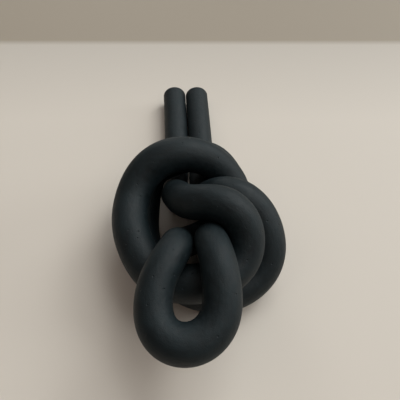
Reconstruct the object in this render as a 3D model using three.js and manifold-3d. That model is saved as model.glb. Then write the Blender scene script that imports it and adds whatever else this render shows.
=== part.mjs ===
// A knot ornament of matte black ceramic: one thick clay coil, folded double and tied in an overhand knot.
// It is laid up from nine rolled lengths, and their slanted ends are joined with slip.
// Millimetres, +Z up, the tails towards +Y and the front loop towards -Y.

import * as THREE from 'three';
import { mergeVertices } from 'three/addons/utils/BufferGeometryUtils.js';
import Module from 'manifold-3d';

const wasm = await Module();
wasm.setup();

// Sizes
const COIL_DIAMETER = 20; // the rolled coil's nominal thickness
const STRAND_GAP = 0.5; // left between strands that lie on one another
const TAIL_LENGTH = 73; // each tail, from the ring's far edge to its cut end
const TAIL_LEAN = 3.8; // degrees the tails lean to the left
const LOOP_REACH = 38; // how far the front loop's bow stands out in front of the ring
const END_ROUNDING = 2.5; // the softened edge of a tail's cut end
const FOOT_DEPTH = 0.5; // clay pressed flat underneath where the coil lies on the table
const SLIP_THICKNESS = 0.8; // the layer of slip in a joint
const JOINT_CLEARANCE = 0.3; // left on each face of that layer
const SCARF_ANGLE = 35; // degrees a joint is slanted from a square cut

// Fineness
const SIDES = 24;
const RING_STEP = 4.2;
const ROUNDING_STEPS = 3;
const STEPS_PER_SPAN = 24;

// One strand beside the next
const PITCH = COIL_DIAMETER + STRAND_GAP;

// The route is a list of stations. A station's place is in pitches, and its girth is a share of the diameter.
function station(x, y, z, girth) {
  const place = new THREE.Vector3(x, y, z).multiplyScalar(PITCH);
  return new THREE.Vector4(place.x, place.y, place.z - FOOT_DEPTH, girth * COIL_DIAMETER / 2);
}

// A station where the coil lies on the table
function lying(x, y, girth) {
  return station(x, y, girth * COIL_DIAMETER / 2 / PITCH, girth);
}

// A station on a tail, at a share of its length from the ring's far edge
const TAIL_ROOT = 1.75 * PITCH;
function tail(x, share, girth) {
  const out = share * TAIL_LENGTH;
  const shift = out * Math.tan(THREE.MathUtils.degToRad(TAIL_LEAN));
  return lying(x - shift / PITCH, (TAIL_ROOT + out) / PITCH, girth);
}

// A station on the front loop, at a share of its reach from the ring's front edge
const LOOP_ROOT = -2.9 * PITCH;
function bow(x, share, z, girth) {
  return station(x, (LOOP_ROOT - share * LOOP_REACH) / PITCH, z, girth);
}

// The rolled lengths in the coil's order. Each one starts at its first station and ends where the next starts.
const LENGTHS = [
  ['left_tail', [
    tail(-0.72, 1, 0.865), tail(-0.70, 0, 0.835),
  ]],
  ['inner_right_arm', [
    lying(-0.80, 1.15, 0.85), station(-0.71, 0.19, 0.50, 0.85), station(-0.67, -0.40, 1.76, 0.88),
    station(-0.33, -1.26, 2.27, 0.95), station(0.68, -1.40, 2.78, 0.96), station(1.31, -1.90, 2.24, 0.94),
    station(1.18, -2.61, 1.58, 0.99),
  ]],
  ['upper_left_arc', [
    station(0.40, -3.15, 1.58, 1.03), station(-0.62, -3.12, 1.47, 1.01), station(-1.30, -2.73, 1.33, 1.03),
    station(-1.86, -1.70, 1.60, 1.02), station(-1.94, -0.63, 1.55, 1.01), station(-1.61, 0.09, 1.97, 1.03),
    station(-0.92, 0.45, 2.37, 1.04), station(0.06, 0.56, 2.26, 1.03), station(0.86, 0.40, 1.62, 0.93),
    station(1.22, -0.20, 1.22, 0.90),
  ]],
  ['left_riser', [
    station(0.98, -0.84, 0.82, 0.89), station(0.18, -1.10, 0.52, 0.89), station(-0.37, -1.62, 0.92, 0.88),
  ]],
  ['front_loop', [
    station(-0.57, -2.07, 1.72, 0.86), station(-0.48, -2.53, 2.43, 0.86), bow(-0.98, 0.24, 2.39, 0.88),
    bow(-1.04, 0.73, 2.13, 0.91), bow(-0.62, 1, 2.05, 0.96), bow(0.06, 1, 2.01, 0.97),
    bow(0.60, 0.70, 2.12, 0.94), bow(0.53, 0.23, 2.56, 0.90), station(0.39, -2.63, 2.54, 0.87),
  ]],
  ['right_riser', [
    station(0.25, -1.91, 1.93, 0.86), station(0.58, -1.94, 0.92, 0.87), station(1.34, -1.63, 0.35, 0.87),
  ]],
  ['lower_left_arc', [
    station(1.96, -0.54, 0.47, 0.87), station(1.38, 0.26, 0.36, 0.88), station(0.94, 0.98, 0.95, 0.91),
    station(0.37, 1.32, 1.42, 0.96), station(-0.60, 1.10, 1.48, 1.00), station(-1.48, 0.80, 1.28, 1.00),
    station(-1.65, 0.36, 0.74, 0.97), station(-1.71, -0.43, 0.48, 0.99), lying(-1.66, -1.53, 1.01),
    lying(-0.88, -2.49, 1.00),
  ]],
  ['outer_right_arm', [
    lying(0.02, -2.98, 1.01), lying(0.88, -3.02, 1.03), station(1.74, -2.48, 0.61, 1.03),
    station(2.00, -1.86, 1.21, 1.02), station(1.65, -1.03, 1.80, 1.01), station(0.89, -0.68, 2.16, 0.98),
    station(0.20, -0.55, 1.71, 0.91), station(0.21, -0.10, 0.73, 0.88),
  ]],
  ['right_tail', [
    station(0.09, 1.04, 0.41, 0.85), tail(0.135, 0, 0.835), tail(0.14, 1, 0.865),
  ]],
];

// The coil's centre line: one smooth curve that follows the stations and carries the radius along
class CoilLine extends THREE.Curve {
  constructor(stations) {
    super();
    const beyond = (end, next) => end.clone().multiplyScalar(2).sub(next);
    const before = beyond(stations.at(0), stations.at(1));
    const after = beyond(stations.at(-1), stations.at(-2));
    this.stations = [before, ...stations, after];
    this.spans = stations.length - 1;
    this.arcLengthDivisions = STEPS_PER_SPAN * this.spans;
  }

  // Place and radius at t, which runs from 0 to 1
  sample(t) {
    const span = Math.min(Math.floor(t * this.spans), this.spans - 1);
    const s = t * this.spans - span;
    const weights = [
      (1 - s) ** 3,
      3 * s ** 3 - 6 * s ** 2 + 4,
      -3 * s ** 3 + 3 * s ** 2 + 3 * s + 1,
      s ** 3,
    ];
    const sum = new THREE.Vector4(0, 0, 0, 0);
    weights.forEach((weight, i) => sum.addScaledVector(this.stations[span + i], weight / 6));
    return sum;
  }

  getPoint(t, target = new THREE.Vector3()) {
    const { x, y, z } = this.sample(t);
    return target.set(x, y, z);
  }
}

const line = new CoilLine(LENGTHS.flatMap(([, stations]) => stations));
const lineLengths = line.getLengths();
const lineLength = line.getLength();
const FRAME_STEPS = Math.ceil(lineLength);
const frames = line.computeFrenetFrames(FRAME_STEPS, false);

function sampleAlong(along) {
  const share = THREE.MathUtils.clamp(along / lineLength, 0, 1);
  return line.sample(line.getUtoTmapping(share));
}

// A point on the coil's skin, at a distance along it and an angle round it
function skinPoint(along, angle, inset) {
  const { x, y, z, w } = sampleAlong(along);
  const place = THREE.MathUtils.clamp(along / lineLength, 0, 1) * FRAME_STEPS;
  const low = Math.min(Math.floor(place), FRAME_STEPS - 1);
  const across = (list) => list[low].clone().lerp(list[low + 1], place - low);
  return new THREE.Vector3(x, y, z)
    .addScaledVector(across(frames.normals), (w - inset) * Math.cos(angle))
    .addScaledVector(across(frames.binormals), (w - inset) * Math.sin(angle));
}

// A ring of points round the coil. Its slant is 0 for a square ring and 1 for one on a joint's face.
const SCARF_SLOPE = Math.tan(THREE.MathUtils.degToRad(SCARF_ANGLE));
function ring(along, slant = 0, inset = 0) {
  const reach = slant * SCARF_SLOPE * sampleAlong(along).w;
  return Array.from({ length: SIDES }, (_, i) => {
    const angle = 2 * Math.PI * i / SIDES;
    return skinPoint(along + reach * Math.cos(angle), angle, inset);
  });
}

// The solid between a row of rings, closed by a cap on the first and the last
function loft(rings) {
  const middle = (points) => points.reduce((sum, p) => sum.add(p), new THREE.Vector3()).divideScalar(SIDES);
  const points = [...rings.flat(), middle(rings.at(0)), middle(rings.at(-1))];
  const startCap = points.length - 2;
  const endCap = points.length - 1;
  const lastRing = SIDES * (rings.length - 1);
  const triangles = [];
  for (let side = 0; side < SIDES; side += 1) {
    const next = (side + 1) % SIDES;
    triangles.push(startCap, next, side);
    triangles.push(endCap, lastRing + side, lastRing + next);
    for (let row = 0; row < lastRing; row += SIDES) {
      triangles.push(row + side, row + next, row + SIDES + next);
      triangles.push(row + side, row + SIDES + next, row + SIDES + side);
    }
  }
  return new THREE.BufferGeometry().setFromPoints(points).setIndex(triangles);
}

function toSolid(geometry) {
  const bare = geometry.clone();
  bare.deleteAttribute('normal');
  bare.deleteAttribute('uv');
  const merged = mergeVertices(bare);
  return new wasm.Manifold(new wasm.Mesh({
    numProp: 3,
    vertProperties: new Float32Array(merged.attributes.position.array),
    triVerts: new Uint32Array(merged.index.array),
  }));
}

function toGeometry(solid) {
  const { vertProperties, triVerts } = solid.getMesh();
  const geometry = new THREE.BufferGeometry();
  geometry.setAttribute('position', new THREE.BufferAttribute(new Float32Array(vertProperties), 3));
  geometry.setIndex(new THREE.BufferAttribute(new Uint32Array(triVerts), 1));
  geometry.computeVertexNormals();
  return geometry;
}

// The table's top is z = 0, and clay that would be below it is pressed flat
const TABLE_SIZE = 4 * lineLength;
const tableGeometry = new THREE.BoxGeometry(TABLE_SIZE, TABLE_SIZE, TABLE_SIZE);
const table = toSolid(tableGeometry.translate(0, 0, -TABLE_SIZE / 2));
function pressedFlat(geometry) {
  return toGeometry(toSolid(geometry).subtract(table));
}

// The rings of a tail's softened end, from its cut face inwards
function softenedEnd(end, inwards) {
  return Array.from({ length: ROUNDING_STEPS + 1 }, (_, i) => {
    const turn = Math.PI / 2 * i / ROUNDING_STEPS;
    const depth = END_ROUNDING * (1 - Math.cos(turn));
    return ring(end + inwards * depth, 0, END_ROUNDING * (1 - Math.sin(turn)));
  });
}

// A rolled length between two places on the coil. An end is either a tail's cut end or a slanted joint.
const SCARF_RUN = COIL_DIAMETER;
function rolledLength(start, end, startsAtCut, endsAtCut) {
  const first = startsAtCut ? start + END_ROUNDING : start;
  const last = endsAtCut ? end - END_ROUNDING : end;
  const steps = Math.ceil((last - first) / RING_STEP);
  const rings = Array.from({ length: steps + 1 }, (_, i) => {
    const along = first + (last - first) * i / steps;
    const startSlant = startsAtCut ? 0 : Math.max(0, 1 - (along - start) / SCARF_RUN);
    const endSlant = endsAtCut ? 0 : Math.max(0, 1 - (end - along) / SCARF_RUN);
    return ring(along, startSlant + endSlant);
  });
  if (startsAtCut) rings.splice(0, 1, ...softenedEnd(start, 1));
  if (endsAtCut) rings.splice(-1, 1, ...softenedEnd(end, -1).reverse());
  return loft(rings);
}

// Along the coil, a slanted layer takes up more than its own thickness
const alongCoil = (thickness) => thickness / Math.cos(THREE.MathUtils.degToRad(SCARF_ANGLE));
const halfSlip = alongCoil(SLIP_THICKNESS) / 2;
const halfJoint = halfSlip + alongCoil(JOINT_CLEARANCE);

const clay = new THREE.MeshStandardMaterial({ color: 0x2b3133, roughness: 0.55, metalness: 0 });
const slip = new THREE.MeshStandardMaterial({ color: 0x24292b, roughness: 0.6, metalness: 0 });

const knot = new THREE.Group();
knot.name = 'ceramic_knot';

function addPiece(name, geometry, material) {
  const mesh = new THREE.Mesh(pressedFlat(geometry), material);
  mesh.name = name;
  knot.add(mesh);
}

let stationCount = 0;
LENGTHS.forEach(([name, stations], i) => {
  const isFirst = i === 0;
  const isLast = i === LENGTHS.length - 1;
  const start = lineLengths[STEPS_PER_SPAN * stationCount];
  stationCount += stations.length;
  const end = isLast ? lineLength : lineLengths[STEPS_PER_SPAN * stationCount];
  const from = isFirst ? start : start + halfJoint;
  const to = isLast ? end : end - halfJoint;
  addPiece(name, rolledLength(from, to, isFirst, isLast), clay);
  if (!isLast) addPiece(`${name}_slip`, loft([ring(end - halfSlip, 1), ring(end + halfSlip, 1)]), slip);
});

// The origin is under the middle of the whole knot, on the table
const middle = new THREE.Box3().setFromObject(knot).getCenter(new THREE.Vector3());
knot.children.forEach((mesh) => mesh.geometry.translate(-middle.x, -middle.y, 0));

export default knot;
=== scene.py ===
"""A knot ornament of matte black ceramic on a pale table, in soft light from the right.

Its coil is remade here as nine smooth lengths that meet end to end, because the slip in a fired joint
doesn't show. Metres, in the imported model's frame: +Z up, the tails towards +Y, the front loop towards -Y.
"""

import math
from typing import NamedTuple

import bmesh
import bpy
from mathutils import Euler, Matrix, Quaternion, Vector


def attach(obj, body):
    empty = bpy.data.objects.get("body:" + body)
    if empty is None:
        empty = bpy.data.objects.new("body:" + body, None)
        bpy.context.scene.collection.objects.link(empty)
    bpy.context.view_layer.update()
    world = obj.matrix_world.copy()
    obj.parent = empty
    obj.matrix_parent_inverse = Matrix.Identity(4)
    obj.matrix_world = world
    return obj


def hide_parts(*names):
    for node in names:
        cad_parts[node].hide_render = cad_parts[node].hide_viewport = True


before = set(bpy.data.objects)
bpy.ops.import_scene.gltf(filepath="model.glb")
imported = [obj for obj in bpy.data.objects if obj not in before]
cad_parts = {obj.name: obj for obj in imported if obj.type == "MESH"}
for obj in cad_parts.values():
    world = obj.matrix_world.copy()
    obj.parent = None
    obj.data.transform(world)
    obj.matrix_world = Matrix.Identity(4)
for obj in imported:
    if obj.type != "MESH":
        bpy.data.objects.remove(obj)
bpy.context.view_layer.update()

# Sizes of the coil
COIL_DIAMETER = 0.020
STRAND_GAP = 0.0005
PITCH = COIL_DIAMETER + STRAND_GAP
TAIL_LENGTH = 0.073
TAIL_LEAN = math.radians(3.8)
TAIL_ROOT = 1.75 * PITCH
LOOP_REACH = 0.038
LOOP_ROOT = -2.9 * PITCH
END_ROUNDING = 0.0025
FOOT_DEPTH = 0.0005
ROUTE_MIDDLE = Vector((0.00013, 0.00137, FOOT_DEPTH))

# Fineness of the coil. A nudge is a short way along the route, in stations, that gives its heading.
SIDES = 72
RING_STEP = 0.0014
SEAM_STEP = 0.00012
ROUNDING_STEPS = 8
NUDGE = 0.01

# Skin
COIL_PLACE = "coil_place"
SKIN_DEPTH = 0.0004

# Table
TABLE_HALF = 2
TABLE_EDGE = 0.187
EDGE_WIDTH = 0.008
# How far in front of the table's far edge the painted shade reaches.
PAINTED_SHADE_REACH = 0.1

# Light
LAMP_DISTANCE = 7
WINDOW_SIZE = 2.6
SKY_SIZE = 4.4
COOL_DAYLIGHT = (0.95, 1, 1)
WARM_ROOM = (1, 0.88, 0.80)
ROOM_GLOW = 0.05

# Camera
CAMERA_PLACE = (0.00087, -0.14837, 0.2222)
CAMERA_TILT = math.radians(35.3)
LENS = 36
SENSOR = 36
NEAREST_SEEN = 0.01


# The coil's route

def station(x, y, z, girth):
    """A place on the route, in pitches, and the coil's girth there, as a share of its diameter."""
    place = PITCH * Vector((x, y, z)) - ROUTE_MIDDLE
    return Vector((*place, girth * COIL_DIAMETER / 2))


def lying(x, y, girth):
    """A station where the coil lies on the table."""
    return station(x, y, girth * COIL_DIAMETER / 2 / PITCH, girth)


def tail(x, share, girth):
    """A station on a tail, at a share of its length from the ring's far edge."""
    out = share * TAIL_LENGTH
    return lying(x - out * math.tan(TAIL_LEAN) / PITCH, (TAIL_ROOT + out) / PITCH, girth)


def bow(x, share, z, girth):
    """A station on the front loop, at a share of its reach from the ring's front edge."""
    return station(x, (LOOP_ROOT - share * LOOP_REACH) / PITCH, z, girth)


LENGTHS = {
    "left_tail": [
        tail(-0.72, 1, 0.865), tail(-0.70, 0, 0.835),
    ],
    "inner_right_arm": [
        lying(-0.80, 1.15, 0.85), station(-0.71, 0.19, 0.50, 0.85),
        station(-0.67, -0.40, 1.76, 0.88), station(-0.33, -1.26, 2.27, 0.95),
        station(0.68, -1.40, 2.78, 0.96), station(1.31, -1.90, 2.24, 0.94),
        station(1.18, -2.61, 1.58, 0.99),
    ],
    "upper_left_arc": [
        station(0.40, -3.15, 1.58, 1.03), station(-0.62, -3.12, 1.47, 1.01),
        station(-1.30, -2.73, 1.33, 1.03), station(-1.86, -1.70, 1.60, 1.02),
        station(-1.94, -0.63, 1.55, 1.01), station(-1.61, 0.09, 1.97, 1.03),
        station(-0.92, 0.45, 2.37, 1.04), station(0.06, 0.56, 2.26, 1.03),
        station(0.86, 0.40, 1.62, 0.93), station(1.22, -0.20, 1.22, 0.90),
    ],
    "left_riser": [
        station(0.98, -0.84, 0.82, 0.89), station(0.18, -1.10, 0.52, 0.89),
        station(-0.37, -1.62, 0.92, 0.88),
    ],
    "front_loop": [
        station(-0.57, -2.07, 1.72, 0.86), station(-0.48, -2.53, 2.43, 0.86),
        bow(-0.98, 0.24, 2.39, 0.88), bow(-1.04, 0.73, 2.13, 0.91), bow(-0.62, 1, 2.05, 0.96),
        bow(0.06, 1, 2.01, 0.97), bow(0.60, 0.70, 2.12, 0.94), bow(0.53, 0.23, 2.56, 0.90),
        station(0.39, -2.63, 2.54, 0.87),
    ],
    "right_riser": [
        station(0.25, -1.91, 1.93, 0.86), station(0.58, -1.94, 0.92, 0.87),
        station(1.34, -1.63, 0.35, 0.87),
    ],
    "lower_left_arc": [
        station(1.96, -0.54, 0.47, 0.87), station(1.38, 0.26, 0.36, 0.88),
        station(0.94, 0.98, 0.95, 0.91), station(0.37, 1.32, 1.42, 0.96),
        station(-0.60, 1.10, 1.48, 1.00), station(-1.48, 0.80, 1.28, 1.00),
        station(-1.65, 0.36, 0.74, 0.97), station(-1.71, -0.43, 0.48, 0.99),
        lying(-1.66, -1.53, 1.01), lying(-0.88, -2.49, 1.00),
    ],
    "outer_right_arm": [
        lying(0.02, -2.98, 1.01), lying(0.88, -3.02, 1.03),
        station(1.74, -2.48, 0.61, 1.03), station(2.00, -1.86, 1.21, 1.02),
        station(1.65, -1.03, 1.80, 1.01), station(0.89, -0.68, 2.16, 0.98),
        station(0.20, -0.55, 1.71, 0.91), station(0.21, -0.10, 0.73, 0.88),
    ],
    "right_tail": [
        station(0.09, 1.04, 0.41, 0.85), tail(0.135, 0, 0.835), tail(0.14, 1, 0.865),
    ],
}


class Ring(NamedTuple):
    """A cross-section of the coil: its middle, its turn from lying flat, its radius and its place along."""
    middle: Vector
    turn: Quaternion
    radius: float
    along: float

    def matrix(self):
        return Matrix.LocRotScale(self.middle, self.turn, Vector((self.radius, self.radius, 1)))


def route_point(route, place):
    """Middle and radius of the coil at a place on the route, counted in stations, on a smooth spline."""
    span = min(int(place), len(route) - 4)
    s = place - span
    weights = (1 - s) ** 3, 3 * s ** 3 - 6 * s ** 2 + 4, -3 * s ** 3 + 3 * s ** 2 + 3 * s + 1, s ** 3
    return sum((w * p for w, p in zip(weights, route[span:span + 4])), Vector((0, 0, 0, 0))) / 6


def route_heading(route, start, end):
    return (route_point(route, end) - route_point(route, start)).xyz.normalized()


def ring_places(route, start, end):
    """Places on the route for one length's rings after its first, with a close ring at both ends."""
    places = []
    for span in range(start, end):
        reach = (route_point(route, span + 1) - route_point(route, span)).xyz.length
        steps = math.ceil(reach / RING_STEP)
        close = SEAM_STEP / reach
        places += [span + close] if span == start else []
        places += [span + i / steps for i in range(1, steps)]
        places += [span + 1 - close] if span == end - 1 else []
        places += [span + 1]
    return places


def route_rings():
    """The coil's rings, listed for each of its lengths. Neighbours share the ring at their joint."""
    route = [point for stations in LENGTHS.values() for point in stations]
    route = [2 * route[0] - route[1], *route, 2 * route[-1] - route[-2]]
    rings, start, along = {}, 0, 0.0
    last = route_point(route, 0)
    heading = route_heading(route, 0, NUDGE)
    turn = Vector((0, 0, 1)).rotation_difference(heading)
    ring = Ring(last.xyz, turn, last.w, along)
    for name, stations in LENGTHS.items():
        end = min(start + len(stations), len(route) - 3)
        rings[name] = [ring]
        for place in ring_places(route, start, end):
            point = route_point(route, place)
            ahead = route_heading(route, place - NUDGE, place + NUDGE)
            turn = heading.rotation_difference(ahead) @ turn
            along += (point - last).xyz.length
            heading, last = ahead, point
            ring = Ring(point.xyz, turn, point.w, along)
            rings[name].append(ring)
        start = end
    return rings


def softened(rings):
    """A tail's rings, with the first one, its cut face, rounded in to the full girth."""
    face = rings[0]
    inward = (rings[2].middle - face.middle).normalized()
    rounding = []
    for i in range(ROUNDING_STEPS + 1):
        angle = math.pi / 2 * i / ROUNDING_STEPS
        middle = face.middle + inward * END_ROUNDING * (1 - math.cos(angle))
        radius = face.radius - END_ROUNDING * (1 - math.sin(angle))
        rounding.append(face._replace(middle=middle, radius=radius))
    return rounding + [ring for ring in rings if abs(ring.along - face.along) > END_ROUNDING]


# The coil's lengths

def place_on_coil(verts, ring, layer):
    """Stores where each vertex of a ring lies: across the coil, and along it."""
    back = ring.matrix().inverted()
    for vert in verts:
        across = ring.radius * (back @ vert.co)
        vert[layer] = Vector((across.x, across.y, ring.along))


def roll(shape, rings):
    """Sweeps a circle through the rings, and closes both ends. Gives the edges of both end faces."""
    layer = shape.verts.layers.float_vector.new(COIL_PLACE)
    first = rings[0]
    circle = bmesh.ops.create_circle(shape, cap_ends=True, segments=SIDES, radius=1, matrix=first.matrix())
    place_on_coil(circle["verts"], first, layer)
    edges = list(shape.edges)
    start_edges = list(edges)
    for ring, following in zip(rings, rings[1:]):
        grown = bmesh.ops.extrude_edge_only(shape, edges=edges)["geom"]
        verts = [item for item in grown if isinstance(item, bmesh.types.BMVert)]
        edges = [item for item in grown if isinstance(item, bmesh.types.BMEdge)]
        bmesh.ops.transform(shape, matrix=following.matrix() @ ring.matrix().inverted(), verts=verts)
        place_on_coil(verts, following, layer)
    bmesh.ops.edgeloop_fill(shape, edges=edges)
    return start_edges + edges


def press_flat(shape):
    """Cuts off what is below the table's top, where wet clay is pressed flat. Gives the new edges."""
    everything = [*shape.verts, *shape.edges, *shape.faces]
    cut = bmesh.ops.bisect_plane(
        shape, geom=everything, plane_co=(0, 0, 0), plane_no=(0, 0, -1), clear_outer=True,
    )
    edges = [item for item in cut["geom_cut"] if isinstance(item, bmesh.types.BMEdge)]
    if edges:
        bmesh.ops.holes_fill(shape, edges=edges, sides=0)
    return edges


def coil_length(name, rings, material):
    """One rolled length of the coil, with the slip at its end, in place of their solids."""
    shape = bmesh.new()
    sharp = roll(shape, rings)
    sharp += press_flat(shape)
    bmesh.ops.recalc_face_normals(shape, faces=shape.faces)
    for face in shape.faces:
        face.smooth = True
    for edge in sharp:
        if edge.is_valid:
            edge.smooth = False
    mesh = bpy.data.meshes.new(name)
    shape.to_mesh(mesh)
    shape.free()
    mesh.materials.append(material)
    piece = bpy.data.objects.new(f"{name}_clay", mesh)
    bpy.context.scene.collection.objects.link(piece)
    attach(piece, "root")
    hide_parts(*(node for node in (name, f"{name}_slip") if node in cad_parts))


# Finishes

class Value:
    """A number in a material. Arithmetic on it adds Math nodes."""

    def __init__(self, finish, socket):
        self.finish = finish
        self.socket = socket

    def math(self, operation, *numbers):
        return self.finish.add("ShaderNodeMath", {"operation": operation}, dict(enumerate(numbers)))

    def __add__(self, other):
        return self.math("ADD", self, other)

    def __sub__(self, other):
        return self.math("SUBTRACT", self, other)

    def __rsub__(self, other):
        return self.math("SUBTRACT", other, self)

    def __mul__(self, other):
        return self.math("MULTIPLY", self, other)

    __radd__ = __add__
    __rmul__ = __mul__


class Finish:
    """A material that is built node by node."""

    def __init__(self, name):
        self.material = bpy.data.materials.new(name)
        self.material.use_nodes = True
        self.tree = self.material.node_tree
        self.shader = self.tree.nodes["Principled BSDF"]

    def add(self, kind, settings=None, sockets=None, output=0):
        """A new node's output. Its settings are set first, and then its sockets get values or links."""
        node = self.tree.nodes.new(kind)
        for key, setting in (settings or {}).items():
            if key == "stops":
                set_stops(node.color_ramp, setting)
            else:
                setattr(node, key, setting)
        self.feed(node, sockets or {})
        return Value(self, node.outputs[output])

    def feed(self, node, sockets):
        for key, value in sockets.items():
            if isinstance(value, Value):
                self.tree.links.new(value.socket, node.inputs[key])
            else:
                node.inputs[key].default_value = value

    def stretched(self, vector, factors):
        return self.add("ShaderNodeVectorMath", {"operation": "MULTIPLY"}, {0: vector, 1: factors})

    def noise(self, vector, scale, detail):
        return self.add("ShaderNodeTexNoise", None, {"Vector": vector, "Scale": scale, "Detail": detail})

    def ramp(self, value, stops):
        return self.add("ShaderNodeValToRGB", {"stops": stops}, {"Fac": value})


def set_stops(ramp, stops):
    """Puts (place, colour) stops on a new colour ramp, which has two to begin with."""
    while len(ramp.elements) < len(stops):
        ramp.elements.new(1)
    for element, (place, colour) in zip(ramp.elements, stops):
        element.position = place
        element.color = colour


def srgb(red, green, blue):
    """A colour given by its 0 to 255 screen values, as linear light."""
    def linear(value):
        value /= 255
        return value / 12.92 if value <= 0.04045 else ((value + 0.055) / 1.055) ** 2.4
    return linear(red), linear(green), linear(blue), 1


def black_ceramic():
    """Unglazed black clay: a satin skin with soft mottling, fine grain, faint streaks and a few pits."""
    finish = Finish("black_ceramic")
    place = finish.add("ShaderNodeTexCoord", output="Object")
    on_coil = finish.add("ShaderNodeAttribute", {"attribute_name": COIL_PLACE}, output="Vector")
    drawn_out = finish.stretched(on_coil, (1, 1, 0.06))
    smoothed = finish.stretched(on_coil, (1, 1, 0.65))

    cloud = finish.noise(place, 90, 3)
    grain = finish.noise(place, 2600, 2)
    mottle = finish.noise(smoothed, 430, 3)
    streak = finish.noise(drawn_out, 420, 2)
    from_pit = finish.add("ShaderNodeTexVoronoi", {"feature": "F1"}, {"Vector": place, "Scale": 190})
    pits = finish.ramp(from_pit, [(0.05, srgb(255, 255, 255)), (0.11, srgb(0, 0, 0))])

    tone = 0.45 * cloud + 0.4 * mottle + 0.15 * streak
    colour = finish.ramp(tone, [(0.35, srgb(3, 14, 18)), (0.65, srgb(15, 28, 32))])
    roughness = 0.37 + 0.14 * cloud + 0.24 * mottle + 0.10 * streak
    height = 0.3 * grain + 0.6 * mottle + 0.15 * streak + 1.2 * cloud - 1.0 * pits
    bump = finish.add("ShaderNodeBump", None, {"Height": height, "Distance": SKIN_DEPTH, "Strength": 0.8})
    finish.feed(finish.shader, {
        "Base Color": colour, "Roughness": roughness, "Normal": bump, "Specular IOR Level": 0.34,
    })
    return finish.material


def pale_table():
    """A smooth pale table top with shade painted on it towards its far edge, and the darker strip past that
    edge.
    """
    finish = Finish("pale_table")
    place = finish.add("ShaderNodeTexCoord", output="Object")
    depth = finish.add("ShaderNodeSeparateXYZ", None, {"Vector": place}, output="Y")
    far = finish.add("ShaderNodeMapRange", None, {
        "Value": depth, "From Min": TABLE_EDGE - PAINTED_SHADE_REACH, "From Max": TABLE_EDGE + EDGE_WIDTH,
    })
    edge = PAINTED_SHADE_REACH / (PAINTED_SHADE_REACH + EDGE_WIDTH)
    # The middle stop is painted shade: the top darkens towards its far edge, like the shade in the corner
    # at a wall's foot.
    colour = finish.ramp(far, [
        (0, srgb(213, 203, 192)), (edge, srgb(195, 186, 176)), (1, srgb(159, 147, 132)),
    ])
    finish.feed(finish.shader, {"Base Color": colour, "Roughness": 0.7})
    return finish.material


# The scene

def table():
    shape = bmesh.new()
    bmesh.ops.create_grid(shape, x_segments=1, y_segments=1, size=TABLE_HALF)
    mesh = bpy.data.meshes.new("table")
    shape.to_mesh(mesh)
    shape.free()
    mesh.materials.append(pale_table())
    floor = bpy.data.objects.new("table", mesh)
    bpy.context.scene.collection.objects.link(floor)


def soft_lamp(name, bearing, elevation, size, brightness, colour):
    """A square lamp that faces the knot. Its bearing, from +X, and its elevation are in degrees.

    At a brightness of 1, a white face turned to it looks white.
    """
    lamp = bpy.data.lights.new(name, "AREA")
    lamp.size = size
    lamp.color = colour
    lamp.energy = brightness * (math.pi * LAMP_DISTANCE) ** 2
    holder = bpy.data.objects.new(name, lamp)
    outward = Vector((LAMP_DISTANCE, 0, 0))
    outward.rotate(Euler((0, -math.radians(elevation), math.radians(bearing))))
    holder.location = outward
    holder.rotation_euler = (-outward).to_track_quat("-Z", "Y").to_euler()
    bpy.context.scene.collection.objects.link(holder)


def room_glow():
    """A faint warm light from all round."""
    world = bpy.data.worlds.new("room_glow")
    world.use_nodes = True
    sky = world.node_tree.nodes["Background"]
    sky.inputs["Color"].default_value = (*WARM_ROOM, 1)
    sky.inputs["Strength"].default_value = ROOM_GLOW
    bpy.context.scene.world = world


def camera():
    """A close view from the front loop's end, looking down at the knot."""
    view = bpy.data.cameras.new("camera")
    view.lens = LENS
    view.sensor_width = SENSOR
    view.clip_start = NEAREST_SEEN
    holder = bpy.data.objects.new("camera", view)
    holder.location = CAMERA_PLACE
    holder.rotation_euler = (CAMERA_TILT, 0, 0)
    bpy.context.scene.collection.objects.link(holder)
    bpy.context.scene.camera = holder


ceramic = black_ceramic()
coil_rings = route_rings()
coil_rings["left_tail"] = softened(coil_rings["left_tail"])
coil_rings["right_tail"] = softened(coil_rings["right_tail"][::-1])[::-1]
for length_name, length_rings in coil_rings.items():
    coil_length(length_name, length_rings, ceramic)

table()
soft_lamp("side_window", 10, 16, WINDOW_SIZE, 0.23, COOL_DAYLIGHT)
soft_lamp("window", 40, 35, WINDOW_SIZE, 0.30, COOL_DAYLIGHT)
soft_lamp("right_sky", 0, 55, SKY_SIZE, 0.25, COOL_DAYLIGHT)
soft_lamp("back_sky", 60, 55, SKY_SIZE, 0.41, COOL_DAYLIGHT)
soft_lamp("back_glow", 105, 16, WINDOW_SIZE, 0.13, COOL_DAYLIGHT)
soft_lamp("left_ceiling", 180, 55, SKY_SIZE, 0.08, WARM_ROOM)
soft_lamp("front_ceiling", 300, 55, SKY_SIZE, 0.13, WARM_ROOM)
room_glow()
camera()
bpy.context.scene.view_settings.view_transform = "Standard"
